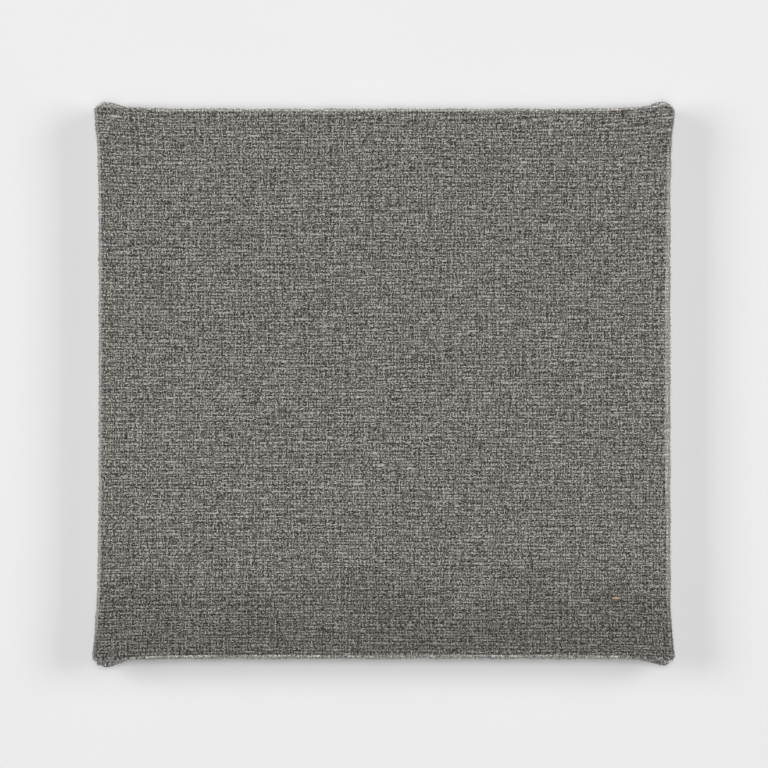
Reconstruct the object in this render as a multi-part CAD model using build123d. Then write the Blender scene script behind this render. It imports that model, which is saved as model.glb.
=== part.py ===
"""Fabric-wrapped acoustic wall panel, lying on its back with its face up.

X runs along the width, Y along the height and Z out of the face. The origin is the middle of
the back, on the surface that the panel lies on. All sizes are in millimetres.
"""

import os
from math import atan2, degrees, hypot

from build123d import *

# Whole panel, over the cloth at the middle of each side
panel_width = 305.0
panel_height = 293.5

# Rigid fibre board that absorbs the sound, cut from flat stock
core_thickness = 25.4
core_edge_radius = 1.0

# Cloth, stretched over the board and turned onto its back
cloth_thickness = 1.2
cloth_gap = 0.2
cloth_edge_radius = 2.2
cloth_corner_radius = 3.0
hem_width = 30.0
mitre_width = 0.6
mitre_margin = 4.0

# The folded layers at each corner push the cloth's outline outwards: each side is straight
# along the middle and swings outwards over its last stretch
flare_across = 3.0
flare_along = 1.4
flare_length = 38.0

# Tuck at each end of the top and bottom sides, where the spare cloth of the corner is
# folded under: it is thickest at the back and dies out towards the face
tuck_height = 2.9
tuck_length = 25.4
tuck_crest_length = 11.0
tuck_inset = 3.0
tuck_fold_radius = 1.4
tuck_slope_radius = 8.0
tuck_face_share = 0.35

panel_depth = core_thickness + 2 * cloth_thickness
core_width = panel_width - 2 * (cloth_thickness + cloth_gap)
core_height = panel_height - 2 * (cloth_thickness + cloth_gap)
half_width = panel_width / 2
half_height = panel_height / 2


def rounded_board(width, height, thickness, edge_radius):
    """A board with its back at Z 0 and the edges round its face eased."""
    board = Box(width, height, thickness, align=(Align.CENTER, Align.CENTER, Align.MIN))
    face_edges = board.faces().sort_by(Axis.Z)[-1].edges()
    return fillet(face_edges, edge_radius)


def core_board():
    """The absorbing board, resting on the turned-over cloth."""
    board = rounded_board(core_width, core_height, core_thickness, core_edge_radius)
    return Pos(0, 0, cloth_thickness) * board


def flared_side(half_length, half_breadth, flare):
    """The top side of an outline as seen from the front: straight along the middle, with a
    tangent arc outwards into both corners. half_length reaches to the corner."""
    bend = (half_length - flare_length, half_breadth)
    corner = (half_length, half_breadth + flare)
    right_arc = TangentArc(bend, corner, tangent=(1, 0))
    middle = Line((-bend[0], bend[1]), bend)
    return [mirror(right_arc, Plane.YZ), middle, right_arc]


def cloth_outline():
    """What the wrapped panel covers as seen from the front, without its tucks."""
    corner_x = half_width + flare_across
    corner_y = half_height + flare_along
    top = flared_side(corner_x, half_height, flare_along)
    right = [Rot(0, 0, -90) * edge for edge in flared_side(corner_y, half_width, flare_across)]
    bottom_left = [Rot(0, 0, 180) * edge for edge in top + right]
    return make_face(top + right + bottom_left)


def wrapped_body():
    """The wrapped panel as a solid block: the outline, with its corners and edges rounded."""
    block = extrude(cloth_outline(), panel_depth)
    block = fillet(block.edges().filter_by(Axis.Z), cloth_corner_radius)
    levels = block.faces().filter_by(Axis.Z).sort_by(Axis.Z)
    return fillet(levels[0].edges() + levels[-1].edges(), cloth_edge_radius)


def tuck_section(crest_y, length, crest_length, level):
    """A flat section through the tuck at the right-hand end of the top side. Its outer line
    goes round the fold near the corner, along the crest and down the slope to the side of the
    panel, and its inner line is buried in the cloth."""
    start = half_width + flare_across - tuck_inset
    buried = half_height - cloth_thickness / 2
    outer = FilletPolyline(
        (start, buried),
        (start, crest_y),
        (start - crest_length, crest_y),
        (start - length, buried),
        radius=[tuck_fold_radius, tuck_slope_radius],
    )
    inner = Line(outer @ 1, outer @ 0)
    return Pos(0, 0, level) * make_face([outer, inner])


def tuck():
    """The tuck at the right-hand end of the top side, as wide as it gets at the back and
    sunk into the cloth at the face."""
    surface = half_height + flare_along
    wide = tuck_section(
        surface + tuck_height, tuck_length, tuck_crest_length, cloth_edge_radius
    )
    narrow = tuck_section(
        surface,
        tuck_face_share * tuck_length,
        tuck_face_share * tuck_crest_length,
        panel_depth - cloth_edge_radius,
    )
    return loft([wide, narrow], ruled=True)


def mitre_slot():
    """The joint between two hems at the corner of the back, open to the window there."""
    start_x = half_width - hem_width - mitre_width
    start_y = half_height - hem_width - mitre_width
    end_x = half_width - mitre_margin
    end_y = half_height - mitre_margin
    length = hypot(end_x - start_x, end_y - start_y)
    slot = Box(length, mitre_width, cloth_thickness, align=(Align.MIN, Align.CENTER, Align.MIN))
    turn = degrees(atan2(end_y - start_y, end_x - start_x))
    return Pos(start_x, start_y, 0) * Rot(0, 0, turn) * slot


def at_corners(shape):
    """The shape of the top right corner, with its mirror images in the other three."""
    right = [shape, mirror(shape, Plane.XZ)]
    return right + [mirror(copy, Plane.YZ) for copy in right]


def fabric_cover():
    """The one sheet of cloth: face, four sides, the hem on the back and four tucks."""
    cover = wrapped_body()
    for fold in at_corners(tuck()):
        cover += fold
    cavity = rounded_board(
        core_width + 2 * cloth_gap,
        core_height + 2 * cloth_gap,
        core_thickness,
        core_edge_radius,
    )
    cover -= Pos(0, 0, cloth_thickness) * cavity
    cover -= Box(
        panel_width - 2 * hem_width,
        panel_height - 2 * hem_width,
        cloth_thickness,
        align=(Align.CENTER, Align.CENTER, Align.MIN),
    )
    for slot in at_corners(mitre_slot()):
        cover -= slot
    return cover


os.makedirs("parts", exist_ok=True)
export_step(core_board(), "parts/core_board.step")
export_step(fabric_cover(), "parts/fabric_cover.step")
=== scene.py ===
"""Looks of the fabric acoustic wall panel, lying on its back with its face up.

The cloth is one sheet, laid out flat in its own coordinates (p along X, q along Y, from the
middle of the face) and folded onto the board: over the face edge, down the sides, folded in
three at each corner and turned onto the back. All lengths are in metres.
"""

import math
from typing import NamedTuple

import bmesh
import bpy
import numpy as np
from bpy.props import FloatProperty, FloatVectorProperty, IntProperty, PointerProperty
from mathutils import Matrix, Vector


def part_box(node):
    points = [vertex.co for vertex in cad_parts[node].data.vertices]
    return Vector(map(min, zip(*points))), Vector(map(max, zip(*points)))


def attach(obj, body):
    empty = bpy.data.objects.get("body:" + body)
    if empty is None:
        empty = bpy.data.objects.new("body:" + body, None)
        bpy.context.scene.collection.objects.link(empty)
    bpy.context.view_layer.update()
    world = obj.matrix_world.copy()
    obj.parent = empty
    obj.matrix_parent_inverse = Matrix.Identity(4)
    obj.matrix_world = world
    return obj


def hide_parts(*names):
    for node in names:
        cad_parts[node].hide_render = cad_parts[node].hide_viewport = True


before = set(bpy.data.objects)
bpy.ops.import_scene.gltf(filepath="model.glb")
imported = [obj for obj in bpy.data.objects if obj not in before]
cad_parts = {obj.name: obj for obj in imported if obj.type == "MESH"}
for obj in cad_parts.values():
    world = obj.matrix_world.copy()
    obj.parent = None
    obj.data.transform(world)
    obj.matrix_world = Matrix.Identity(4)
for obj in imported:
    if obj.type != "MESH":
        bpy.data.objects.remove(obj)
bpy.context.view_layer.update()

bl_info = {
    "name": "Fabric acoustic wall panel",
    "version": (1, 0, 0),
    "blender": (4, 5, 0),
    "location": "3D View > Sidebar > Acoustic Panel",
    "description": "Wraps a fibre board in heathered tweed, with folded corners and fuzz",
    "category": "Object",
}

MM = 0.001
BOARD_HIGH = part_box("core_board")[1]
CLOTH_OVER_BOARD = 1.2 * MM  # from the board to the outside of the cloth
HALF_WIDTH = BOARD_HIGH.x + CLOTH_OVER_BOARD
HALF_HEIGHT = BOARD_HIGH.y + CLOTH_OVER_BOARD
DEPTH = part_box("fabric_cover")[1].z

SEED = 7


class Corner(NamedTuple):
    """How the cloth lies at one corner, whose place is given by the signs of x and y."""

    x_sign: int
    y_sign: int
    radius: float  # mm of its rounding, seen from the front
    flare_x: float  # mm that the left or right edge swings outwards there
    reach_x: float  # mm over which it does
    flare_y: float  # the same for the top or bottom edge
    reach_y: float
    fold_inset: float  # mm from the middle of the corner's bend to the folded edge
    fold_height: float  # mm of the folded edge over the layer under it
    crest_height: float  # mm of the layers at the crest of the tuck
    rise: float  # mm from the folded edge to the crest
    crest: float  # mm along the crest
    slope: float  # mm from the crest down to the side


CORNERS = (
    Corner(-1, 1, 3.0, 2.65, 17, 2.2, 16, 1.3, 1.9, 2.2, 1.5, 3.2, 9),
    Corner(1, 1, 4.8, 2.8, 12, 2.6, 15, -0.2, 1.3, 2.3, 4, 1, 9.5),
    Corner(-1, -1, 1.8, 3.5, 24, 1.5, 16, 0.5, 2.7, 4.3, 3.4, 0.5, 12.5),
    Corner(1, -1, 1.9, 2.6, 12, 1.0, 9, 1.4, 2.9, 3.8, 1.5, 0.5, 17),
)


def length_property(label, text, value):
    """A length that a user can set, given in metres."""
    return FloatProperty(
        name=label, description=text, default=value, min=0, unit="LENGTH", subtype="DISTANCE"
    )


def colour_property(label, text, value):
    """A colour that a user can set, given as linear red, green and blue."""
    return FloatVectorProperty(
        name=label, description=text, default=value, min=0, max=1, size=3, subtype="COLOR"
    )


def share_property(label, text, value):
    """A share from 0 to 1."""
    return FloatProperty(
        name=label, description=text, default=value, min=0, max=1, subtype="FACTOR"
    )


def count_property(label, text, value):
    """A number of fibres."""
    return IntProperty(name=label, description=text, default=value, min=0)


class WrappedClothSettings(bpy.types.PropertyGroup):
    """Sizes of the sheet of cloth as it lies on the board."""

    thickness: length_property("Thickness", "Thickness of the woven sheet", 0.8 * MM)
    edge_radius: length_property("Edge radius", "How round the cloth turns at an edge", 2.2 * MM)
    flare_fade: length_property("Flare fade", "Reach of a corner's pull into the face", 35 * MM)
    tuck_growth: length_property("Tuck growth", "Depth where a tuck is at its highest", 9 * MM)
    hem_width: length_property("Hem width", "Width of the cloth turned onto the back", 30 * MM)
    mitre_gap: length_property("Mitre gap", "Half of the joint between two hems", 0.3 * MM)
    ripple: length_property("Ripple", "How far the face and sides are from flat", 0.12 * MM)
    fine_step: length_property("Fine step", "Spacing of the mesh near the corners", 1.5 * MM)
    coarse_step: length_property("Coarse step", "Spacing of the mesh in the middle", 3.4 * MM)
    fine_reach: length_property("Fine reach", "Reach of the fine mesh from a corner", 36 * MM)


class TweedSettings(bpy.types.PropertyGroup):
    """Yarns and colours of the tweed."""

    weft_pitch: length_property("Weft pitch", "From one crosswise yarn to the next", 1.737 * MM)
    warp_pitch: length_property("Warp pitch", "From one upright yarn to the next", 1.7 * MM)
    # Painted shade: the darkest colour, for the darkest yarns and the shade painted into the gaps
    # between them
    pit_shade_colour: colour_property("Pit colour", "Gaps between the yarns", (0.030, 0.027, 0.025))
    dark_colour: colour_property("Dark colour", "Darkest yarns", (0.078, 0.072, 0.067))
    middle_colour: colour_property("Middle colour", "Most of the yarns", (0.168, 0.157, 0.144))
    light_colour: colour_property("Light colour", "Lightest yarns", (0.260, 0.252, 0.229))
    slub_colour: colour_property("Slub colour", "Thick light yarn", (0.46, 0.45, 0.42))
    fleck_colour: colour_property("Fleck colour", "Rare stray fibres", (0.50, 0.37, 0.25))
    # Painted sheen: the nap colour and nap share lighten the rim where the cloth turns over the
    # face's edge, standing in for grazing sheen and backlit fuzz
    nap_sheen_colour: colour_property("Nap colour", "Raised nap on the edges", (0.46, 0.45, 0.43))
    nap_sheen_share: share_property("Nap share", "How much the nap hides the yarns", 0.85)
    relief: length_property("Relief", "Height of the yarns over the gaps", 0.35 * MM)


class FuzzSettings(bpy.types.PropertyGroup):
    """Loose fibres that stand off the cloth."""

    tufts: count_property("Tufts", "Short thick ends on the edges", 10000)
    edge_fibres: count_property("Edge fibres", "On the edges of the face", 4500)
    side_fibres: count_property("Side fibres", "On the sides and tucks", 3800)
    face_fibres: count_property("Face fibres", "On the face", 3500)
    fibre_length: length_property("Fibre length", "Mean length of a loose fibre", 0.8 * MM)
    fibre_radius: length_property("Fibre radius", "Radius of a fibre at its root", 0.035 * MM)
    dark_fibre: colour_property("Dark fibre", "Darkest loose fibres", (0.10, 0.095, 0.09))
    light_fibre: colour_property("Light fibre", "Lightest loose fibres", (0.52, 0.51, 0.48))


class BoardSettings(bpy.types.PropertyGroup):
    """Colours of the pressed fibre board."""

    binder_colour: colour_property("Binder colour", "Resin in the board", (0.36, 0.22, 0.055))
    fibre_colour: colour_property("Fibre colour", "Glass fibres of the board", (0.68, 0.52, 0.22))
    pale_colour: colour_property("Pale colour", "Loose tufts on the board", (0.80, 0.70, 0.42))


class StudioSettings(bpy.types.PropertyGroup):
    """Floor, lights and camera."""

    floor_colour: colour_property("Floor colour", "Pale matt floor", (0.832, 0.832, 0.836))
    floor_size: length_property("Floor size", "Side of the floor", 9.0)
    view_width: length_property("View width", "Width of the picture at the face", 409.8 * MM)
    camera_distance: length_property("Camera distance", "From the face to the camera", 2.5)
    light_distance: length_property("Light distance", "From the panel to each light", 3.2)
    front_share: share_property("Front share", "Part of the light from the front", 0.503)
    side_share: share_property("Side share", "Part of the light from each side", 0.255)
    fill_share: share_property("Fill share", "Part of the light from all round", 0.066)


class Sheet:
    """Collects patches of the cloth: where each point lies and where it was in the flat cut."""

    def __init__(self):
        self.places = []
        self.flats = []
        self.faces = []
        self.count = 0

    def add(self, place, flat, keep=None):
        """Adds a grid of points, and the quads between them that keep allows."""
        rows, columns = place.shape[:2]
        index = np.arange(rows * columns).reshape(rows, columns) + self.count
        quads = np.stack(
            [index[:-1, :-1], index[:-1, 1:], index[1:, 1:], index[1:, :-1]], axis=-1
        )
        if keep is not None:
            quads = quads[keep]
        self.places.append(place.reshape(-1, 3))
        self.flats.append(flat.reshape(-1, 2))
        self.faces.append(quads.reshape(-1, 4))
        self.count += rows * columns

    def add_rows(self, rows):
        """Adds a grid of points from its rows, each with its places and its flat places."""
        places, flats = zip(*rows)
        self.add(np.stack(places), np.stack(flats))


def smooth(value):
    """A soft step from 0 to 1."""
    value = np.clip(value, 0, 1)
    return value * value * (3 - 2 * value)


def graded(half, fine_reach, fine_step, coarse_step):
    """Places from -half to half, close together near both ends."""
    middle = half - fine_reach
    inner = np.linspace(-middle, middle, math.ceil(2 * middle / coarse_step) + 1)
    outer = np.linspace(middle, half, math.ceil(fine_reach / fine_step) + 1)[1:]
    return np.concatenate([-outer[::-1], inner, outer])


def pairs(first, second):
    """Two rows of numbers side by side."""
    return np.stack([first, second], 1)


class Wrap:
    """The folded shape of the cloth. A level is a length down from the rim of the flat face."""

    MESH_CHANGE = 12 * MM  # the level below which the rows of the mesh lie further apart
    TUCK_TURN = 9 * MM  # the level from which a tuck draws in towards the back
    TUCK_DRAWN = 8 * MM  # over which it does
    TUCK_LOSS = 0.6  # of its height by then
    INSET_REACH = 2 * MM  # over which the folded edge moves in from the corner
    HIDDEN_SLOPE = 0.35  # part of a tuck's slope that the layer inside it reaches
    END_STRETCH = 10 * MM  # of a hem beside its mitre, which takes up what the mitre cuts off
    TUCKED_STRETCH = 8 * MM  # of the top or bottom side, which takes up a fold's inset

    def __init__(self, cloth):
        self.cloth = cloth
        self.half_sheet = cloth.thickness / 2
        self.radius = cloth.edge_radius - self.half_sheet
        self.flat_x = HALF_WIDTH - cloth.edge_radius
        self.flat_y = HALF_HEIGHT - cloth.edge_radius
        self.bend = self.radius * math.pi / 2
        self.side_end = self.bend + DEPTH - 2 * cloth.edge_radius
        self.back_start = self.side_end + self.bend
        self.hem = cloth.hem_width - cloth.edge_radius

    def levels(self):
        """The levels of the mesh, from the rim of the face to the start of the back."""
        over = np.linspace(0, self.bend, 8)
        upper = np.linspace(self.bend, self.MESH_CHANGE, 9)[1:]
        lower = np.linspace(self.MESH_CHANGE, self.side_end, 8)[1:]
        under = np.linspace(self.side_end, self.back_start, 6)[1:]
        return np.concatenate([over, upper, lower, under])

    def turned_under(self, level):
        """How far the cloth has turned round the back edge at a level, as an angle."""
        return np.clip(level - self.side_end, 0, self.bend) / self.radius

    def profile(self, level):
        """How far outside the flat face a level lies, and how high."""
        over = np.clip(level, 0, self.bend) / self.radius
        down = np.clip(level - self.bend, 0, self.side_end - self.bend)
        under = self.turned_under(level)
        inward = np.maximum(level - self.back_start, 0)
        out = self.radius * (np.sin(over) - 1 + np.cos(under)) - inward
        top = DEPTH - self.half_sheet
        height = top - self.radius * (1 - np.cos(over) + np.sin(under)) - down
        return out, height

    def fold_share(self, level):
        """How much of a tuck's height is reached at a level."""
        out, _ = self.profile(level)
        spare = np.maximum(level - math.pi / 4 * out, 0)
        pulled_in = 1 - self.TUCK_LOSS * smooth((level - self.TUCK_TURN) / self.TUCK_DRAWN)
        grown = smooth(spare / self.cloth.tuck_growth)
        return grown * pulled_in * np.cos(self.turned_under(level))

    def inset(self, corner, level):
        """From the middle of the corner's bend to the folded edge."""
        return corner.fold_inset * MM * (1 - np.exp(-level / self.INSET_REACH))

    def tuck_height(self, corner, distance, level):
        """How far the outer layer stands off the side, at a distance from the folded edge."""
        rise = corner.rise * MM
        fall_start = rise + corner.crest * MM
        up = smooth(distance / rise)
        height = corner.fold_height + (corner.crest_height - corner.fold_height) * up
        down = np.clip((distance - fall_start) / (corner.slope * MM), 0, 1)
        fall = (down + smooth(down)) / 2
        return height * MM * (1 - fall) * self.fold_share(level)

    def corner_path(self, corner, level):
        """One level's way round a corner, from the end of the left or right side to the folded
        edge of the top or bottom side. Returns places outside the flat face's corner, and the
        lengths along the flat cut."""
        out, _ = self.profile(level)
        inset = float(self.inset(corner, level))
        gap = float(self.tuck_height(corner, 0.0, level)) / 2
        spare = max(level - math.pi / 4 * out, 0)
        tucked = max(spare - math.pi / 2 * gap, 0)
        deepest = (corner.rise + corner.crest + self.HIDDEN_SLOPE * corner.slope) * MM
        tucked = min(tucked, deepest)
        end = float(self.tuck_height(corner, tucked, level)) / 2
        around = np.linspace(0, math.pi / 2, 9)
        half_turn = np.linspace(0, math.pi, 6)[1:]
        shown = max(inset, 0)
        back = np.linspace(shown, inset + tucked, 6)
        forth = np.linspace(inset + tucked, inset, 6)
        lift = np.linspace(end, gap, 6)
        parts = [
            pairs(out * np.cos(around), out * np.sin(around)),
            pairs(-np.linspace(0, shown, 4)[1:], np.full(3, out)),
            pairs(-back[1:], np.full(5, out)),
            pairs(
                -inset - tucked - end / 2 * np.sin(half_turn),
                out + end / 2 * (1 - np.cos(half_turn)),
            ),
            pairs(-forth[1:], out + lift[1:]),
            pairs(
                -inset + gap / 2 * np.sin(half_turn),
                out + gap + gap / 2 * (1 - np.cos(half_turn)),
            ),
        ]
        place = np.concatenate(parts)
        steps = np.linalg.norm(np.diff(place, axis=0), axis=1)
        along = np.concatenate([[0], np.cumsum(steps)])
        seen = len(parts[0]) + len(parts[1])
        whole = 2 * level + inset
        hidden = along[seen - 1 :] - along[seen - 1]
        if hidden[-1] > 0:
            start = min(along[seen - 1], whole)
            along[seen - 1 :] = start + hidden / hidden[-1] * (whole - start)
        first = np.where(along <= level, level, 2 * level - along)
        second = np.minimum(along, level)
        return place, pairs(first, second), seen

    def rounded(self, x, y):
        """Rounds the corners of the whole outline, seen from the front."""
        radius = np.zeros_like(x)
        for corner in CORNERS:
            here = (corner.x_sign * x > 0) & (corner.y_sign * y > 0)
            radius = np.where(here, corner.radius * MM, radius)
        radius = np.maximum(radius, 1 * MM)
        past_x = np.maximum((np.abs(x) - HALF_WIDTH + radius) / radius, 0)
        past_y = np.maximum((np.abs(y) - HALF_HEIGHT + radius) / radius, 0)
        pull_x = past_x * (1 - np.sqrt(1 - np.minimum(past_y, 1) ** 2 / 2))
        pull_y = past_y * (1 - np.sqrt(1 - np.minimum(past_x, 1) ** 2 / 2))
        return x - np.sign(x) * pull_x * radius, y - np.sign(y) * pull_y * radius

    def flared(self, x, y):
        """Swings the edges outwards towards the corners."""
        fade = self.cloth.flare_fade
        move_x, move_y = np.zeros_like(x), np.zeros_like(y)
        for corner in CORNERS:
            in_x = np.maximum(HALF_WIDTH - corner.x_sign * x, 0)
            in_y = np.maximum(HALF_HEIGHT - corner.y_sign * y, 0)
            pull_x = corner.flare_x * MM / (1 + (in_y / (corner.reach_x * MM)) ** 2)
            pull_y = corner.flare_y * MM / (1 + (in_x / (corner.reach_y * MM)) ** 2)
            move_x += corner.x_sign * pull_x * np.exp(-in_x / fade)
            move_y += corner.y_sign * pull_y * np.exp(-in_y / fade)
        return x + move_x, y + move_y

    def settle(self, x, y, z):
        """Places in space, once the outline is rounded and flared."""
        x, y = self.flared(*self.rounded(x, y))
        return np.stack([x, y, z + np.zeros_like(x)], axis=-1)


def squeezed(places, kept, old_end, new_end):
    """Moves places beyond kept so that old_end comes to new_end, on the positive side."""
    beyond = np.maximum(places - kept, 0)
    return np.minimum(places, kept) + beyond * (new_end - kept) / (old_end - kept)


def add_face(sheet, wrap, columns, rows):
    """The flat face."""
    x, y = np.meshgrid(columns, rows)
    _, height = wrap.profile(0.0)
    sheet.add(wrap.settle(x, y, height), np.stack([x, y], -1))


def add_upright_side(sheet, wrap, rows, sign):
    """The left or right side, from the rim of the face round to the back."""
    level, y = np.meshgrid(wrap.levels(), rows, indexing="ij")
    out, height = wrap.profile(level)
    x = sign * (wrap.flat_x + out)
    flat = np.stack([sign * (wrap.flat_x + level), y], -1)
    sheet.add(wrap.settle(x, y, height), flat)


def tucked_columns(wrap, columns, y_sign, kept, reach):
    """Where the columns of a top or bottom strip stand when its ends come to reach(corner)."""
    ends = {c.x_sign: reach(c) for c in CORNERS if c.y_sign == y_sign}
    return np.where(
        columns > 0,
        squeezed(columns, kept, wrap.flat_x, ends[1]),
        -squeezed(-columns, kept, wrap.flat_x, ends[-1]),
    )


def level_row(wrap, x, y_sign, level, lift):
    """One row of the top or bottom side or of its hem, from where its columns stand."""
    out, height = wrap.profile(level)
    y = y_sign * (wrap.flat_y + out + lift)
    flat_y = np.full_like(x, y_sign * (wrap.flat_y + level))
    return wrap.settle(x, y, height), pairs(x, flat_y)


def level_side(wrap, columns, y_sign):
    """The rows of the top or bottom side, whose ends lie over the tucks."""
    kept = wrap.flat_x - wrap.TUCKED_STRETCH
    for level in wrap.levels():
        x = tucked_columns(
            wrap, columns, y_sign, kept, lambda corner: wrap.flat_x - wrap.inset(corner, level)
        )
        lift = np.zeros_like(x)
        for corner in CORNERS:
            if corner.y_sign == y_sign:
                edge = wrap.flat_x - wrap.inset(corner, level)
                on_side = corner.x_sign * x > 0
                distance = np.maximum(edge - np.abs(x), 0)
                lift += np.where(on_side, wrap.tuck_height(corner, distance, level), 0)
        yield level_row(wrap, x, y_sign, level, lift)


def add_corner(sheet, wrap, corner):
    """The corner's bend and the layers tucked in beside it. The hidden ones stop at the back."""
    places, flats = [], []
    for level in wrap.levels():
        _, height = wrap.profile(level)
        place, flat, seen = wrap.corner_path(corner, level)
        x = corner.x_sign * (wrap.flat_x + place[:, 0])
        y = corner.y_sign * (wrap.flat_y + place[:, 1])
        places.append(wrap.settle(x, y, height))
        ends = np.array([wrap.flat_x, wrap.flat_y])
        flats.append((ends + flat) * (corner.x_sign, corner.y_sign))
    places, flats = np.stack(places), np.stack(flats)
    keep = np.ones((places.shape[0] - 1, places.shape[1] - 1), bool)
    under = wrap.levels()[1:] > wrap.side_end + 1e-9
    keep[np.ix_(under, np.arange(keep.shape[1]) >= seen - 1)] = False
    sheet.add(places, flats, keep)


def hem_rows(wrap):
    """For each row of a hem its level, how much the mitre cuts off each of its ends, and how far
    from the end its points begin to move up for that."""
    gap_opened = 2 * MM
    for depth in np.linspace(0, wrap.hem, 11):
        gap = wrap.cloth.mitre_gap * min(1, depth / gap_opened)
        yield wrap.back_start + depth, depth + gap, depth + wrap.END_STRETCH


def upright_hem(wrap, rows, sign):
    """The rows of the hem of the left or right side, cut to a mitre at both ends."""
    for level, cut, moved in hem_rows(wrap):
        out, height = wrap.profile(level)
        kept = wrap.flat_y - moved
        y = np.sign(rows) * squeezed(np.abs(rows), kept, wrap.flat_y, wrap.flat_y - cut)
        x = np.full_like(y, sign * (wrap.flat_x + out))
        flat_x = np.full_like(y, sign * (wrap.flat_x + level))
        yield wrap.settle(x, y, height), pairs(flat_x, y)


def level_hem(wrap, columns, y_sign):
    """The rows of the hem of the top or bottom side, cut to a mitre at both ends."""
    for level, cut, moved in hem_rows(wrap):
        x = tucked_columns(
            wrap,
            columns,
            y_sign,
            wrap.flat_x - moved,
            lambda corner: wrap.flat_x - max(float(wrap.inset(corner, level)), cut),
        )
        yield level_row(wrap, x, y_sign, level, np.zeros_like(x))


def ripple(flat, shortest, longest, seed):
    """A gentle uneven waviness, about 1 high, over places in the flat cut."""
    rng = np.random.default_rng(seed)
    total = np.zeros(len(flat))
    count = 14
    for _ in range(count):
        length = rng.uniform(shortest, longest)
        turn = rng.uniform(0, math.pi)
        direction = np.array([math.cos(turn), math.sin(turn)])
        phase = rng.uniform(0, 2 * math.pi)
        total += np.sin(flat @ direction * (2 * math.pi / length) + phase)
    return total / math.sqrt(count)


def welded(name, sheet):
    """One mesh of all patches, joined along their edges, with the flat places on its points."""
    mesh = bpy.data.meshes.new(name)
    mesh.from_pydata(np.concatenate(sheet.places), [], np.concatenate(sheet.faces).tolist())
    flats = np.concatenate(sheet.flats)
    layer = mesh.attributes.new("flat", "FLOAT_VECTOR", "POINT")
    layer.data.foreach_set("vector", np.column_stack([flats, np.zeros(len(flats))]).ravel())
    bm = bmesh.new()
    bm.from_mesh(mesh)
    bmesh.ops.remove_doubles(bm, verts=bm.verts, dist=1e-6)
    bmesh.ops.dissolve_degenerate(bm, edges=bm.edges, dist=1e-7)
    bmesh.ops.recalc_face_normals(bm, faces=bm.faces)
    upper = [face for face in bm.faces if face.calc_center_median().z > DEPTH / 2]
    if max(upper, key=lambda face: face.calc_area()).normal.z < 0:
        bmesh.ops.reverse_faces(bm, faces=bm.faces)
    bm.to_mesh(mesh)
    bm.free()
    return mesh


def vectors_of(items, name):
    """A vector of each item of a mesh, in rows."""
    values = np.zeros(len(items) * 3)
    items.foreach_get(name, values)
    return values.reshape(-1, 3)


def counts_of(items, name):
    """A whole number of each item of a mesh."""
    values = np.zeros(len(items), np.int32)
    items.foreach_get(name, values)
    return values


def flats_of(mesh):
    """Where the mesh's points lie in the flat cut."""
    return vectors_of(mesh.attributes["flat"].data, "vector")[:, :2]


def uneven(mesh, wrap):
    """Takes the face and the sides a little away from flat, and leaves the back flat."""
    face_fade, side_fade, back_fade = 2 * MM, 4 * MM, 6 * MM
    face_amount, side_amount, face_sunk = 0.5, 1.3, 2
    flats = flats_of(mesh)
    beyond = np.maximum(np.abs(flats) - (wrap.flat_x, wrap.flat_y), 0).max(axis=1)
    near_back = smooth((beyond - wrap.side_end + back_fade) / back_fade)
    on_side = smooth(beyond / side_fade) * (1 - near_back)
    on_face = 1 - smooth(beyond / face_fade)
    face_wave = ripple(flats, 28 * MM, 90 * MM, SEED) - face_sunk
    side_wave = ripple(flats, 9 * MM, 34 * MM, SEED + 1)
    waves = face_amount * on_face * face_wave + side_amount * on_side * side_wave
    shift = wrap.cloth.ripple * waves
    normals = vectors_of(mesh.vertex_normals, "vector")
    places = vectors_of(mesh.vertices, "co") + normals * shift[:, None]
    mesh.vertices.foreach_set("co", places.ravel())
    mesh.update()


def add_map(mesh, name, corner_places):
    """A UV map from one place for each face corner."""
    layer = mesh.uv_layers.new(name=name)
    layer.data.foreach_set("uv", corner_places.astype(np.float32).ravel())


def add_cloth_maps(mesh, wrap):
    """The cloth's own coordinates in metres, and the same cut laid out in a square for baking.
    The inner side of the sheet takes a small tile beside it."""
    flat = flats_of(mesh)[counts_of(mesh.loops, "vertex_index")]
    add_map(mesh, "cloth", flat)
    longest = 2 * (wrap.flat_x + wrap.back_start + wrap.hem)
    outer_tile, inner_tile, margin = 0.93, 0.055, 0.004
    square = flat / longest + 0.5
    material = counts_of(mesh.polygons, "material_index")
    inner = np.repeat(material, counts_of(mesh.polygons, "loop_total"))[:, None] > 0
    outer_place = square * outer_tile + margin
    inner_place = square * inner_tile + (outer_tile + 2 * margin, margin)
    add_map(mesh, "OFBake", np.where(inner, inner_place, outer_place))


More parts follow.
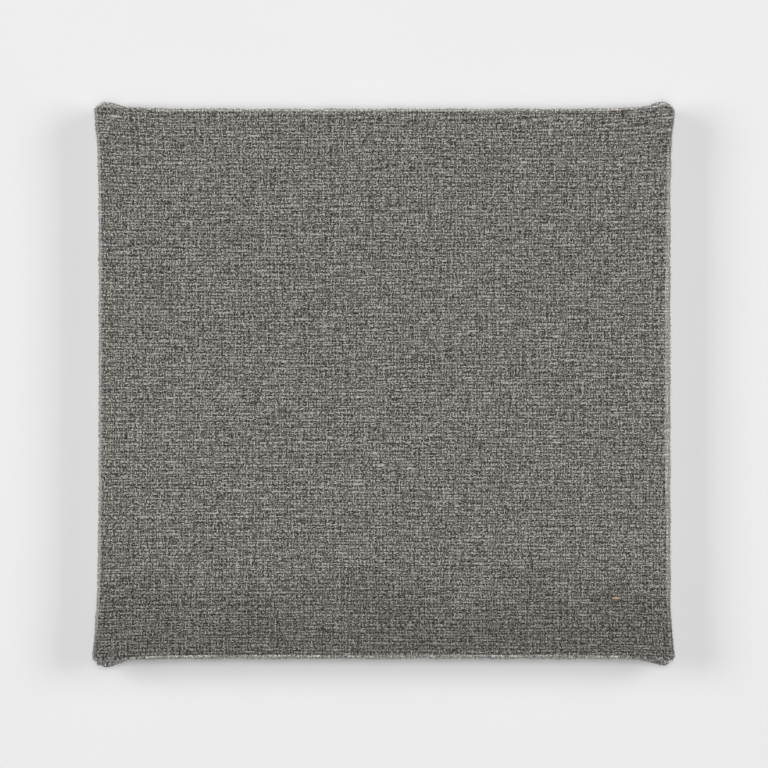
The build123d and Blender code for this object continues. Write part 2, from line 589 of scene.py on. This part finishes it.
class Nodes:
    """Adds nodes to a tree and links them. An input is a socket to link or a plain value."""

    def __init__(self, tree):
        self.tree = tree
        tree.nodes.clear()

    def add(self, kind, inputs=(), output=0, **settings):
        """A new node, of which one output is returned, or the node itself if output is None."""
        node = self.tree.nodes.new(kind)
        for name, value in settings.items():
            setattr(node, name, value)
        self.fill(node, inputs)
        return node if output is None else node.outputs[output]

    def fill(self, node, inputs):
        """Links or sets inputs of a node."""
        for name, value in dict(inputs).items():
            if isinstance(value, bpy.types.NodeSocket):
                self.tree.links.new(value, node.inputs[name])
            else:
                node.inputs[name].default_value = value

    def math(self, operation, *values, clamp=False):
        """A Math node over up to three values."""
        return self.add(
            "ShaderNodeMath", dict(enumerate(values)), operation=operation, use_clamp=clamp
        )

    def times(self, first, second, clamp=False):
        """A product."""
        return self.math("MULTIPLY", first, second, clamp=clamp)

    def minus(self, first, second, clamp=False):
        """A difference."""
        return self.math("SUBTRACT", first, second, clamp=clamp)

    def line(self, value, slope, base):
        """A product and a sum: value times slope, plus base."""
        return self.math("MULTIPLY_ADD", value, slope, base)

    def most(self, first, second):
        """The larger of two values."""
        return self.math("MAXIMUM", first, second)

    def vector(self, operation, *values):
        """A Vector Math node over up to three vectors."""
        return self.add("ShaderNodeVectorMath", dict(enumerate(values)), operation=operation)

    def combine(self, x, y):
        """A vector of two values."""
        return self.add("ShaderNodeCombineXYZ", {0: x, 1: y})

    def split(self, vector):
        """The three parts of a vector."""
        return list(self.add("ShaderNodeSeparateXYZ", {0: vector}, None).outputs)

    def centred(self, value):
        """A value around 0, made of one around 0.5."""
        return self.minus(value, 0.5)

    def scaled(self, colour, factor):
        """A lighter or darker colour."""
        return self.add("ShaderNodeVectorMath", {0: colour, "Scale": factor}, operation="SCALE")

    def soft_step(self, value, start, end, first=0.0, last=1.0):
        """A soft step from first at start to last at end."""
        limits = {"From Min": start, "From Max": end, "To Min": first, "To Max": last}
        return self.add(
            "ShaderNodeMapRange", {"Value": value, **limits}, interpolation_type="SMOOTHSTEP"
        )

    def blend(self, share, first, second):
        """A mix of two values."""
        inputs = {"Factor": share, "A": first, "B": second}
        return self.add("ShaderNodeMix", inputs, data_type="FLOAT")

    def noise(self, vector, scale, detail=2.0, roughness=0.5, output=0):
        """Smooth noise over a plane, mostly between 0.2 and 0.8."""
        inputs = {"Vector": vector, "Scale": scale, "Detail": detail, "Roughness": roughness}
        return self.add("ShaderNodeTexNoise", inputs, output, noise_dimensions="2D")

    def drawn_noise(self, vector, across, up, detail):
        """Noise with a scale of its own in each direction of the plane."""
        return self.noise(self.vector("MULTIPLY", vector, (across, up, 1)), 1.0, detail)

    def ramp(self, value, stops):
        """Colours along a value. Each stop is a place and a colour."""
        node = self.add("ShaderNodeValToRGB", {"Fac": value}, None)
        elements = node.color_ramp.elements
        while len(elements) < len(stops):
            elements.new(0.5)
        for element, (place, colour) in zip(elements, stops):
            element.position = place
            element.color = (*colour, 1)
        return node.outputs["Color"]

    def mix(self, share, first, second):
        """A mix of two colours."""
        node = self.add("ShaderNodeMix", {"Factor": share}, None, data_type="RGBA")
        for name, value in (("A_Color", first), ("B_Color", second)):
            socket = next(s for s in node.inputs if s.identifier == name)
            if isinstance(value, bpy.types.NodeSocket):
                self.tree.links.new(value, socket)
            else:
                socket.default_value = (*value, 1)
        return next(s for s in node.outputs if s.identifier == "Result_Color")


def new_group(name, inputs, outputs):
    """An empty shader node group. inputs are names with a socket type and a default."""
    group = bpy.data.node_groups.new(name, "ShaderNodeTree")
    for socket_name, kind, value in inputs:
        socket = group.interface.new_socket(socket_name, in_out="INPUT", socket_type=kind)
        if value is not None:
            socket.default_value = value
    for socket_name, kind in outputs:
        group.interface.new_socket(socket_name, in_out="OUTPUT", socket_type=kind)
    return group


def tweed_group():
    """Plain weave with uneven, heathered yarns. It gives a shade from 0 to 1, which holds painted
    shade in the low gaps between the yarns, the height of the yarns from 0 to 1, and where the
    light slubs are."""
    group = new_group(
        "tweed_weave",
        [
            ("Vector", "NodeSocketVector", None),
            ("Weft Pitch", "NodeSocketFloat", 1.7 * MM),
            ("Warp Pitch", "NodeSocketFloat", 1.7 * MM),
            ("Heather", "NodeSocketFloat", 1.0),
        ],
        [(name, "NodeSocketFloat") for name in ("Shade", "Height", "Slub")],
    )
    n = Nodes(group)
    given = n.add("NodeGroupInput", output=None).outputs
    place = given["Vector"]
    flat = n.split(place)
    column_drift = n.drawn_noise(place, 90, 7, 2)
    row_drift = n.drawn_noise(place, 5, 90, 2)
    shake = n.split(n.vector("SUBTRACT", n.noise(place, 420, output=1), (0.5, 0.5, 0.5)))

    def yarn_place(axis, pitch, drift, slow_amount, fast_amount):
        """A place counted in yarns, none of which is quite straight."""
        straight = n.math("DIVIDE", flat[axis], given[pitch])
        slow = n.times(n.centred(drift), slow_amount)
        jitter = n.line(shake[axis], fast_amount, slow)
        return n.math("ADD", jitter, straight)

    across = yarn_place(0, "Warp Pitch", column_drift, slow_amount=3.6, fast_amount=0.9)
    up = yarn_place(1, "Weft Pitch", row_drift, slow_amount=2.8, fast_amount=0.42)
    column = n.math("ROUND", across)
    row = n.math("ROUND", up)
    in_column = n.minus(across, column)
    in_row = n.minus(up, row)

    # How far the weft lies over the warp: at every second crossing, but unevenly
    waves = [n.math("COSINE", n.times(value, math.pi)) for value in (across, up)]
    chance_amount = 2.4
    chance = n.times(n.centred(n.noise(n.combine(across, up), 0.8, 1)), chance_amount)
    over = n.times(n.math("ADD", n.times(*waves), chance), 0.5)

    def on_yarn(along, scale, yarn, apart, seed):
        """A place for noise that runs along a yarn, far apart from its neighbours' places."""
        return n.combine(n.times(along, scale), n.line(yarn, apart, seed))

    def streaks(along, yarn, scale, share, seed):
        """Light and dark stretches of each yarn, long ones and short ones."""
        short_share, shorter = 0.4, 5
        long_place = on_yarn(along, scale, yarn, 7.31, seed)
        short_place = on_yarn(along, scale * shorter, yarn, 5.77, seed)
        long_shade = n.centred(n.noise(long_place, 1.0, 2, 0.6))
        short_shade = n.centred(n.noise(short_place, 1.0, 2, 0.6))
        return n.line(long_shade, share, n.times(short_shade, short_share))

    def dome(offset, width):
        """The round top of a yarn: 1 along its middle and 0 at its edges."""
        part = n.math("DIVIDE", offset, width)
        return n.minus(1.0, n.times(part, part), clamp=True)

    slub = n.soft_step(n.noise(on_yarn(across, 0.2, row, 9.13, 3.7), 1.0, 1), 0.68, 0.84)
    weft_level, warp_level, level_change, slub_level = 0.62, 0.52, 0.55, 0.35
    weft_lift = n.line(slub, slub_level, n.line(over, level_change, weft_level))
    warp_lift = n.line(over, -level_change, warp_level)
    weft_height = n.times(dome(in_row, width=0.54), weft_lift)
    warp_height = n.times(dome(in_column, width=0.52), warp_lift)
    changeover = 0.06
    height = n.math("SMOOTH_MAX", weft_height, warp_height, changeover)
    lead = n.minus(weft_height, warp_height)
    weft_on_top = n.add(
        "ShaderNodeMapRange", {"Value": lead, "From Min": -changeover, "From Max": changeover}
    )

    # The shade comes from the yarn, its fibres, painted shade from the height (darker in the low
    # gaps, lighter on the yarn tops) and wider bands of yarns
    mean_shade, fibre_amount, gap_shade_amount = 0.444, 1.5, 0.85
    weft_shade = streaks(across, row, scale=0.13, share=0.66, seed=0.37)
    warp_shade = streaks(up, column, scale=0.10, share=0.5, seed=11.3)
    along_weft = n.drawn_noise(place, 780, 1350, 0)
    along_warp = n.drawn_noise(place, 1350, 680, 0)
    yarn_shade = n.blend(weft_on_top, warp_shade, weft_shade)
    fibres = n.centred(n.blend(weft_on_top, along_warp, along_weft))
    shade = n.times(yarn_shade, given["Heather"])
    shade = n.line(fibres, fibre_amount, shade)
    # Painted shade and light of the yarns' relief: low gaps darker, yarn tops lighter
    shade = n.line(n.centred(height), gap_shade_amount, shade)
    weft_band = ((100, 760, 1), (0, 1.35, 0), 0.27)
    warp_band = ((560, 90, 1), (1.2, 0, 0), 0.17)
    for scales, step, amount in (weft_band, warp_band):
        here = n.vector("MULTIPLY", place, scales)
        beside = n.noise(n.vector("ADD", here, step), 1.0, 0)
        band = n.minus(n.noise(here, 1.0, 0), beside)
        shade = n.line(band, amount, shade)
    shade = n.math("ADD", shade, mean_shade, clamp=True)

    # A slub shows along the middle of its yarn
    from_middle = n.times(n.math("ABSOLUTE", in_row), 3.2)
    slub = n.times(slub, n.minus(1.0, from_middle, clamp=True))
    n.add("NodeGroupOutput", {"Shade": shade, "Height": height, "Slub": slub}, None)
    return group


def new_material(name):
    """A material with only an output and a Principled shader, and its node helper."""
    material = bpy.data.materials.new(name)
    material.use_nodes = True
    n = Nodes(material.node_tree)
    shader = n.add("ShaderNodeBsdfPrincipled", output=None)
    n.add("ShaderNodeOutputMaterial", {"Surface": shader.outputs[0]}, None)
    return material, n, shader


class Fleck(NamedTuple):
    """One stray fibre that lies along the weft, at a place from the middle of the face."""

    x: float
    y: float
    length: float
    width: float


FLECKS = (
    Fleck(123.4 * MM, -114.3 * MM, 4.6 * MM, 1.1 * MM),
    Fleck(-115.6 * MM, 67.5 * MM, 1.6 * MM, 1.0 * MM),
)


def inside_fleck(n, place, fleck):
    """1 inside a stray fibre, and 0 outside it."""
    offset = n.vector("SUBTRACT", place, (fleck.x, fleck.y, 0))
    shape = n.vector("DIVIDE", offset, (fleck.length / 2, fleck.width / 2, 1))
    distance = n.add("ShaderNodeVectorMath", {0: shape}, 1, operation="LENGTH")
    return n.add("ShaderNodeMapRange", {"Value": distance, "From Min": 1.15, "From Max": 0.75})


class NapSheen(NamedTuple):
    """The band of nap along one side of the face, lightened in colour as painted sheen. Some of it
    changes along the side, and is then the output of a node."""

    outward: object  # the flat place, counted outwards across this side
    rim: float  # where the flat face ends
    start: float  # from the rim to where the nap begins
    strength: float
    share: object  # part of the strength
    wait: object  # how much later it begins
    reach: object  # how much further it goes
    contrast: object  # between its light and dark spots


# The band of nap along the face's edges is lightened in colour as painted sheen, over the nap's
# speckled grain
NAP_SHEEN_RISE = 0.9 * MM  # over which the nap begins
NAP_SHEEN_END = 2.6 * MM  # from the rim to where it begins to fade
NAP_SHEEN_FADE = 3.0 * MM  # over which it fades
NAP_GRAIN = 900  # spots per metre, about
NAP_DRAWN = 0.65  # what a length beyond the rim counts for in its pattern
TUCK_NAP_DRAWN = 0.3  # the same across a tuck
DARKEST_GRAIN = 0.3  # how light its darkest spots are
NAP_SHEEN_STRENGTH = 0.85  # of all sides
FOLD_HIGHLIGHT_STRENGTH = 1.5


def drawn_out(n, value, rim, share):
    """A flat place whose part beyond the rim is shortened, so that a pattern runs longer there."""
    kept = n.math("MINIMUM", n.most(value, -rim), rim)
    return n.line(n.minus(value, kept), share, kept)


def edge_nap_sheen(n, place, wrap):
    """How much painted sheen lightens the nap where the cloth turns over the face's edge, stronger
    on some sides than on others, and how much lighter or darker each spot of its grain is."""
    p, q, _ = n.split(place)
    left, down = n.times(p, -1), n.times(q, -1)
    from_top = n.minus(wrap.flat_y, n.math("ABSOLUTE", q))
    from_side = n.minus(wrap.flat_x, n.math("ABSOLUTE", p))
    on_tuck = n.soft_step(from_side, 34 * MM, 18 * MM)

    right_share = n.soft_step(from_top, 12 * MM, 42 * MM, 0.2, 1.0)
    left_share = n.soft_step(from_top, 4 * MM, 26 * MM, 0.3, 1.0)
    top_share = n.blend(on_tuck, 1.0, 0.7)
    bottom_share = n.soft_step(from_side, 6 * MM, 24 * MM, 0.2, 1.0)
    right_wait = n.soft_step(from_top, 100 * MM, 60 * MM, 0.0, 0.7 * MM)
    tuck_wait = n.times(on_tuck, 0.6 * MM)
    tuck_reach = n.times(on_tuck, 7 * MM)
    fine = 0.5
    coarse = n.blend(on_tuck, 2.6, 5.8)
    nap_sheen_sides = (
        NapSheen(p, wrap.flat_x, -1.0 * MM, 0.95, right_share, right_wait, 0.0, fine),
        NapSheen(left, wrap.flat_x, 0.5 * MM, 1.9, left_share, 0.0, 0.0, fine),
        NapSheen(q, wrap.flat_y, 0.5 * MM, 1.3, top_share, tuck_wait, tuck_reach, coarse),
        NapSheen(down, wrap.flat_y, -0.1 * MM, 1.25, bottom_share, tuck_wait, tuck_reach, coarse),
    )
    nap_sheen, contrast = 0.0, 0.0
    for side in nap_sheen_sides:
        start, end = side.rim + side.start, side.rim + NAP_SHEEN_END
        waited = n.minus(side.outward, side.wait)
        reached = n.minus(side.outward, side.reach)
        begun = n.soft_step(waited, start, start + NAP_SHEEN_RISE)
        band = n.minus(begun, n.soft_step(reached, end, end + NAP_SHEEN_FADE))
        contrast = n.most(contrast, n.times(band, side.contrast))
        side_sheen = n.times(n.times(band, side.strength), side.share)
        nap_sheen = n.most(nap_sheen, side_sheen)

    # A painted highlight runs along the top's folded edges
    highlight_start = n.soft_step(q, wrap.flat_y + 2.4 * MM, wrap.flat_y + 3.0 * MM)
    highlight_end = n.soft_step(q, wrap.flat_y + 4.4 * MM, wrap.flat_y + 5.2 * MM)
    fold_highlight = n.times(n.minus(highlight_start, highlight_end), on_tuck)
    nap_sheen = n.most(nap_sheen, n.times(fold_highlight, FOLD_HIGHLIGHT_STRENGTH))

    drawn = n.combine(
        drawn_out(n, p, wrap.flat_x, NAP_DRAWN),
        drawn_out(n, q, wrap.flat_y, n.blend(on_tuck, NAP_DRAWN, TUCK_NAP_DRAWN)),
    )
    spots = n.centred(n.noise(drawn, NAP_GRAIN, 1))
    grain = n.most(n.line(spots, contrast, 1.0), DARKEST_GRAIN)
    return n.times(nap_sheen, NAP_SHEEN_STRENGTH, clamp=True), grain


def bottom_shade(n, place, wrap):
    """How light the cloth is: a little darker along the bottom of the face, and 1 elsewhere."""
    bottom, darkest = -wrap.flat_y, 0.73
    uneven_height = n.line(n.noise(place, 22), 50 * MM, n.split(place)[1])
    return n.soft_step(uneven_height, bottom + 80 * MM, bottom + 36 * MM, 1.0, darkest)


def tweed_material(tweed, wrap, group, name, heather, relief_share):
    """The material of one side of the cloth. heather is how much its yarns differ in shade, and
    relief_share is the part of their relief that it shows."""
    slub_cover, fleck_cover, sheen_lightening, brightest = 0.85, 0.75, 2.1, 1.52
    material, n, shader = new_material(name)
    place = n.add("ShaderNodeUVMap", uv_map="cloth")
    inputs = {
        "Vector": place,
        "Weft Pitch": tweed.weft_pitch,
        "Warp Pitch": tweed.warp_pitch,
        "Heather": heather,
    }
    weave = n.add("ShaderNodeGroup", inputs, None, node_tree=group).outputs
    stops = [
        (0.0, tweed.pit_shade_colour),
        (0.22, tweed.dark_colour),
        (0.50, tweed.middle_colour),
        (0.80, tweed.light_colour),
        (1.0, [brightest * part for part in tweed.light_colour]),
    ]
    colour = n.ramp(weave["Shade"], stops)
    slub_share = n.times(weave["Slub"], slub_cover, clamp=True)
    colour = n.mix(slub_share, colour, tweed.slub_colour)
    colour = n.scaled(colour, bottom_shade(n, place, wrap))
    # Painted sheen on the rim where the cloth turns over the face's edge, with the grain of its
    # nap
    nap_sheen, grain = edge_nap_sheen(n, place, wrap)
    sheen_lit_colour = n.mix(0.5, n.scaled(colour, sheen_lightening), tweed.nap_sheen_colour)
    colour = n.mix(n.times(nap_sheen, tweed.nap_sheen_share), colour, sheen_lit_colour)
    colour = n.scaled(colour, grain)
    for fleck in FLECKS:
        shown = n.times(inside_fleck(n, place, fleck), fleck_cover)
        colour = n.mix(shown, colour, tweed.fleck_colour)
    height, relief = weave["Height"], tweed.relief * relief_share
    looks = {
        "Base Color": colour,
        "Roughness": n.line(height, -0.12, 0.95),
        "Normal": n.add("ShaderNodeBump", {"Height": height, "Distance": relief, "Strength": 1.0}),
        "Specular IOR Level": 0.2,
        "Sheen Weight": 0.35,
        "Sheen Roughness": 0.45,
        "Sheen Tint": (0.9, 0.89, 0.86, 1),
    }
    n.fill(shader, looks)
    return material


def fuzz_material(fuzz):
    """Pale and dark fibres. The map's first coordinate is the shade of the fibre."""
    material, n, shader = new_material("loose_fibres")
    shade = n.split(n.add("ShaderNodeUVMap", uv_map="shade"))[0]
    looks = {
        "Base Color": n.ramp(shade, [(0.0, fuzz.dark_fibre), (1.0, fuzz.light_fibre)]),
        "Roughness": 0.9,
        "Specular IOR Level": 0.2,
        "Sheen Weight": 0.3,
    }
    n.fill(shader, looks)
    return material


def board_material(board):
    """Pressed glass fibre: strands in all directions in a yellow-brown binder."""
    material, n, shader = new_material("pressed_fibre_board")
    place = n.add("ShaderNodeTexCoord", output=None).outputs["Object"]
    strands = 0.0
    for turn, seed in ((0.3, 0.0), (1.4, 3.1), (2.5, 7.7)):
        mapping = {"Vector": place, "Location": (seed,) * 3, "Rotation": (turn, turn * 0.7, turn)}
        turned = n.add("ShaderNodeMapping", mapping)
        stretched = n.vector("MULTIPLY", turned, (60, 900, 900))
        strand = {"Vector": stretched, "Scale": 1.0, "Detail": 3.0, "Distortion": 0.6}
        strands = n.most(strands, n.add("ShaderNodeTexNoise", strand))
    clumps = n.add("ShaderNodeTexNoise", {"Vector": place, "Scale": 160, "Detail": 4.0})
    mixed = n.line(clumps, 0.5, n.times(strands, 0.75))
    stops = [(0.48, board.binder_colour), (0.66, board.fibre_colour), (0.84, board.pale_colour)]
    relief = {"Height": mixed, "Distance": 0.6 * MM, "Strength": 0.8}
    looks = {
        "Base Color": n.ramp(mixed, stops),
        "Roughness": n.line(clumps, 0.2, 0.75),
        "Normal": n.add("ShaderNodeBump", relief),
        "Specular IOR Level": 0.25,
    }
    n.fill(shader, looks)
    return material


def new_object(name, mesh):
    """An object in the scene for a mesh."""
    made = bpy.data.objects.new(name, mesh)
    bpy.context.scene.collection.objects.link(made)
    return made


def applied(made):
    """Applies the object's modifiers to its mesh."""
    graph = bpy.context.evaluated_depsgraph_get()
    mesh = bpy.data.meshes.new_from_object(made.evaluated_get(graph), depsgraph=graph)
    made.modifiers.clear()
    old = made.data
    made.data = mesh
    mesh.name = made.name
    bpy.data.meshes.remove(old)


def wrapped_sheet(cloth):
    """The open sheet, half-way through the cloth's thickness."""
    wrap = Wrap(cloth)
    columns = graded(wrap.flat_x, cloth.fine_reach, cloth.fine_step, cloth.coarse_step)
    rows = graded(wrap.flat_y, cloth.fine_reach, cloth.fine_step, cloth.coarse_step)
    sheet = Sheet()
    add_face(sheet, wrap, columns, rows)
    for sign in (-1, 1):
        add_upright_side(sheet, wrap, rows, sign)
        sheet.add_rows(upright_hem(wrap, rows, sign))
        sheet.add_rows(level_side(wrap, columns, sign))
        sheet.add_rows(level_hem(wrap, columns, sign))
    for corner in CORNERS:
        add_corner(sheet, wrap, corner)
    mesh = welded("wrapped_cloth", sheet)
    uneven(mesh, wrap)
    return mesh, wrap


def fibre_roots(mesh, wrap, fuzz, rng):
    """Random places on the cloth with their normals, most of them on the edges of the face."""
    areas = np.zeros(len(mesh.polygons))
    mesh.polygons.foreach_get("area", areas)
    normals = vectors_of(mesh.polygons, "normal")
    height, facing = vectors_of(mesh.polygons, "center")[:, 2], normals[:, 2]
    at_face = height > DEPTH - 3.2 * MM
    upper_side = height > DEPTH - 9 * MM
    over_floor = height > 2 * MM
    turned = facing < 0.995
    bands = (
        (fuzz.tufts, upper_side & turned),
        (fuzz.edge_fibres, at_face & turned),
        (fuzz.side_fibres, over_floor & ~at_face),
        (fuzz.face_fibres, at_face & ~turned),
    )
    picked = []
    for fibres, band in bands:
        weights = areas * band
        picked.extend(rng.choice(len(areas), fibres, p=weights / weights.sum()))
    corners = np.array([mesh.polygons[i].vertices[:3] for i in picked])
    share = rng.dirichlet((1, 1, 1), len(picked))
    places = (vectors_of(mesh.vertices, "co")[corners] * share[:, :, None]).sum(axis=1)
    return places, normals[picked]


def unit(vectors):
    """The vectors at length 1."""
    return vectors / np.linalg.norm(vectors, axis=1, keepdims=True)


def fibre_mesh(places, normals, fuzz, rng):
    """A curved, tapering fibre at each place. The first ones are the short thick tufts."""
    longest, tuft_length, tuft_width = 2.6, 0.75, (2.5, 4.5)  # in lengths or widths of a fibre
    count = len(places)
    sideways = unit(np.cross(normals, rng.normal(size=(count, 3))))
    lean = rng.uniform(0.3, 1.5, count)[:, None]
    start = unit(normals + sideways * lean)
    turn = unit(np.cross(start, rng.normal(size=(count, 3))))
    length = fuzz.fibre_length * rng.lognormal(0, 0.45, count)[:, None]
    length = np.minimum(length, longest * fuzz.fibre_length)
    width = fuzz.fibre_radius * rng.uniform(0.7, 1.4, count)[:, None]
    length[: fuzz.tufts] *= tuft_length
    width[: fuzz.tufts] *= rng.uniform(*tuft_width, fuzz.tufts)[:, None]
    middle = places + start * length * 0.5
    finish = unit(start + turn * rng.uniform(0.2, 1.3, count)[:, None])
    tip = middle + finish * length * 0.5
    other = np.cross(start, turn)
    rings = []
    for place, share in ((places, 1.0), (middle, 0.75)):
        for angle in (0, 2 * math.pi / 3, 4 * math.pi / 3):
            around = turn * math.cos(angle) + other * math.sin(angle)
            rings.append(place + around * width * share)
    points = np.stack([*rings, tip], axis=1).reshape(-1, 3)
    tip_index = len(rings)
    points_each = tip_index + 1
    first = np.arange(count)[:, None] * points_each
    faces = []
    for a, b in ((0, 1), (1, 2), (2, 0)):
        faces.extend((first + np.array([a, b, b + 3, a + 3])).tolist())
        faces.extend((first + np.array([a + 3, b + 3, tip_index])).tolist())
    mesh = bpy.data.meshes.new("fibre_fuzz")
    mesh.from_pydata(points, [], faces)
    shade = rng.beta(1.3, 1.3, count)
    # Each fibre takes a small tile of the map, placed across it by its shade
    owner, inside = np.divmod(counts_of(mesh.loops, "vertex_index"), points_each)
    outline = np.array([(0, 0), (1, 0), (0.5, 0.2), (0, 1), (1, 1), (0.5, 0.8), (0.5, 1)])
    row = rng.uniform(0.01, 0.98, count)
    tile_size = 0.006
    spot = pairs(0.01 + 0.97 * shade[owner], row[owner]) + outline[inside] * tile_size
    add_map(mesh, "shade", spot)
    add_map(mesh, "OFBake", spot)
    return mesh


class PANEL_OT_wrap_cloth(bpy.types.Operator):
    """Fold one sheet of tweed over the board, with its tucks and mitred hem"""

    bl_idname = "acoustic_panel.wrap_cloth"
    bl_label = "Wrap Cloth"

    def execute(self, context):
        cloth = context.scene.panel_cloth
        mesh, wrap = wrapped_sheet(cloth)
        group = tweed_group()
        tweed = context.scene.panel_tweed
        mesh.materials.append(tweed_material(tweed, wrap, group, "heathered_tweed", 1.0, 1.0))
        mesh.materials.append(tweed_material(tweed, wrap, group, "tweed_reverse", 0.4, 0.5))
        made = new_object("wrapped_cloth", mesh)
        solid = made.modifiers.new("thickness", "SOLIDIFY")
        solid.thickness = cloth.thickness
        solid.offset = 0
        solid.material_offset = 1
        applied(made)
        made.data.polygons.foreach_set("use_smooth", np.ones(len(made.data.polygons), bool))
        add_cloth_maps(made.data, wrap)
        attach(made, "root")
        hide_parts("fabric_cover")
        return {"FINISHED"}


class PANEL_OT_raise_fuzz(bpy.types.Operator):
    """Let loose fibres stand off the cloth, most of them along its edges"""

    bl_idname = "acoustic_panel.raise_fuzz"
    bl_label = "Raise Fuzz"

    def execute(self, context):
        fuzz = context.scene.panel_fuzz
        rng = np.random.default_rng(SEED)
        mesh, wrap = wrapped_sheet(context.scene.panel_cloth)
        places, normals = fibre_roots(mesh, wrap, fuzz, rng)
        bpy.data.meshes.remove(mesh)
        fibres = fibre_mesh(places + normals * wrap.half_sheet, normals, fuzz, rng)
        fibres.materials.append(fuzz_material(fuzz))
        made = new_object("fibre_fuzz", fibres)
        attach(made, "root")
        return {"FINISHED"}


class PANEL_OT_finish_board(bpy.types.Operator):
    """Give the board inside its pressed-fibre finish"""

    bl_idname = "acoustic_panel.finish_board"
    bl_label = "Finish Board"

    def execute(self, context):
        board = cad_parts["core_board"]
        board.data.materials.clear()
        board.data.materials.append(board_material(context.scene.panel_board))
        return {"FINISHED"}


class SoftLight(NamedTuple):
    """A flat soft light. Its azimuth is counted from +X towards +Y, as seen from the front."""

    name: str
    azimuth: float  # degrees
    elevation: float  # degrees over the floor
    width: float  # m
    height: float
    share: str  # the setting that holds its part of the light
    weight: float  # its part of that share


LIGHTS = (
    SoftLight("front_light", 90, 89.0, 0.10, 0.9, "front_share", 0.87),
    SoftLight("lower_light", -90, 76, 0.24, 1.36, "front_share", 0.13),
    SoftLight("left_light", 166, 42, 1.92, 1.47, "side_share", 1.025),
    SoftLight("right_light", 14, 42, 1.92, 1.47, "side_share", 0.975),
)


def hang(light, studio):
    """Hangs a soft light. All shares together light a level white floor to 1."""
    azimuth, elevation = math.radians(light.azimuth), math.radians(light.elevation)
    distance = studio.light_distance
    share = getattr(studio, light.share) * light.weight
    data = bpy.data.lights.new(light.name, "AREA")
    data.shape = "RECTANGLE"
    data.size = light.width
    data.size_y = light.height
    data.energy = share * math.pi**2 * distance**2 / math.sin(elevation)
    made = bpy.data.objects.new(light.name, data)
    level = math.cos(elevation)
    away = Vector((level * math.cos(azimuth), level * math.sin(azimuth), math.sin(elevation)))
    made.location = away * distance
    made.rotation_euler = away.to_track_quat("Z", "Y").to_euler()
    bpy.context.scene.collection.objects.link(made)


def studio_world(fill):
    """Faint light from all round, and a pale background behind the floor."""
    world = bpy.data.worlds.new("studio")
    world.use_nodes = True
    n = Nodes(world.node_tree)
    path = n.add("ShaderNodeLightPath", output=None)
    seen = n.most(path.outputs["Is Camera Ray"], path.outputs["Is Glossy Ray"])
    seen = n.most(seen, path.outputs["Is Transmission Ray"])
    light = n.add("ShaderNodeBackground", {"Color": (1, 1, 1, 1), "Strength": fill})
    back = n.add("ShaderNodeBackground", {"Color": (0.83, 0.83, 0.825, 1), "Strength": 1})
    mixed = n.add("ShaderNodeMixShader", {0: seen, 1: light, 2: back})
    n.add("ShaderNodeOutputWorld", {"Surface": mixed}, None)
    bpy.context.scene.world = world


def floor_material(colour):
    """Matt painted floor with the faintest mottling."""
    material, n, shader = new_material("pale_floor")
    place = n.add("ShaderNodeTexCoord", output=None).outputs["Object"]
    mottle = n.noise(place, 14, 3)
    darker = tuple(part * 0.985 for part in colour)
    mottled = n.mix(mottle, darker, tuple(colour))
    n.fill(shader, {"Base Color": mottled, "Roughness": 0.9, "Specular IOR Level": 0.1})
    return material


VIEW_CENTRE = (-0.35 * MM, -0.05 * MM)  # what the camera looks at, from the panel's middle
FLOOR_LEVEL = -0.1 * MM  # just under the cloth, so that the two don't coincide


class PANEL_OT_set_stage(bpy.types.Operator):
    """Lay the floor, hang the soft lights and place the camera over the panel"""

    bl_idname = "acoustic_panel.set_stage"
    bl_label = "Set Stage"

    def execute(self, context):
        studio = context.scene.panel_studio
        half = studio.floor_size / 2
        mesh = bpy.data.meshes.new("floor")
        signs = ((-1, -1), (1, -1), (1, 1), (-1, 1))
        corners = [(x * half, y * half, FLOOR_LEVEL) for x, y in signs]
        mesh.from_pydata(corners, [], [(0, 1, 2, 3)])
        mesh.materials.append(floor_material(studio.floor_colour))
        floor = new_object("floor", mesh)
        for light in LIGHTS:
            hang(light, studio)
        studio_world(studio.fill_share)
        camera = bpy.data.cameras.new("camera")
        camera.lens = camera.sensor_width * studio.camera_distance / studio.view_width
        made = bpy.data.objects.new("camera", camera)
        made.location = (*VIEW_CENTRE, DEPTH + studio.camera_distance)
        context.scene.collection.objects.link(made)
        context.scene.camera = made
        context.scene.view_settings.view_transform = "Standard"
        context.scene.cycles.filter_width = 1.1
        return {"FINISHED"}


OPERATORS = (
    PANEL_OT_wrap_cloth,
    PANEL_OT_raise_fuzz,
    PANEL_OT_finish_board,
    PANEL_OT_set_stage,
)


class PANEL_PT_sidebar(bpy.types.Panel):
    """Builds the panel piece by piece"""

    bl_label = "Acoustic Panel"
    bl_idname = "PANEL_PT_sidebar"
    bl_space_type = "VIEW_3D"
    bl_region_type = "UI"
    bl_category = "Acoustic Panel"

    def draw(self, context):
        for operator in OPERATORS:
            self.layout.operator(operator.bl_idname)
        for settings in SETTINGS:
            box = self.layout.box()
            group = getattr(context.scene, settings)
            for name in group.bl_rna.properties.keys():
                if name not in ("name", "rna_type"):
                    box.prop(group, name)


SETTINGS = {
    "panel_cloth": WrappedClothSettings,
    "panel_tweed": TweedSettings,
    "panel_fuzz": FuzzSettings,
    "panel_board": BoardSettings,
    "panel_studio": StudioSettings,
}


def register():
    """Registers the settings, the operators and the sidebar."""
    for name, settings in SETTINGS.items():
        bpy.utils.register_class(settings)
        setattr(bpy.types.Scene, name, PointerProperty(type=settings))
    for operator in OPERATORS:
        bpy.utils.register_class(operator)
    bpy.utils.register_class(PANEL_PT_sidebar)


def unregister():
    """Takes away what register added."""
    bpy.utils.unregister_class(PANEL_PT_sidebar)
    for operator in reversed(OPERATORS):
        bpy.utils.unregister_class(operator)
    for name, settings in reversed(SETTINGS.items()):
        delattr(bpy.types.Scene, name)
        bpy.utils.unregister_class(settings)


def main():
    """Builds the panel."""
    register()
    bpy.ops.acoustic_panel.wrap_cloth()
    bpy.ops.acoustic_panel.raise_fuzz()
    bpy.ops.acoustic_panel.finish_board()
    bpy.ops.acoustic_panel.set_stage()


if __name__ == "__main__":
    main()
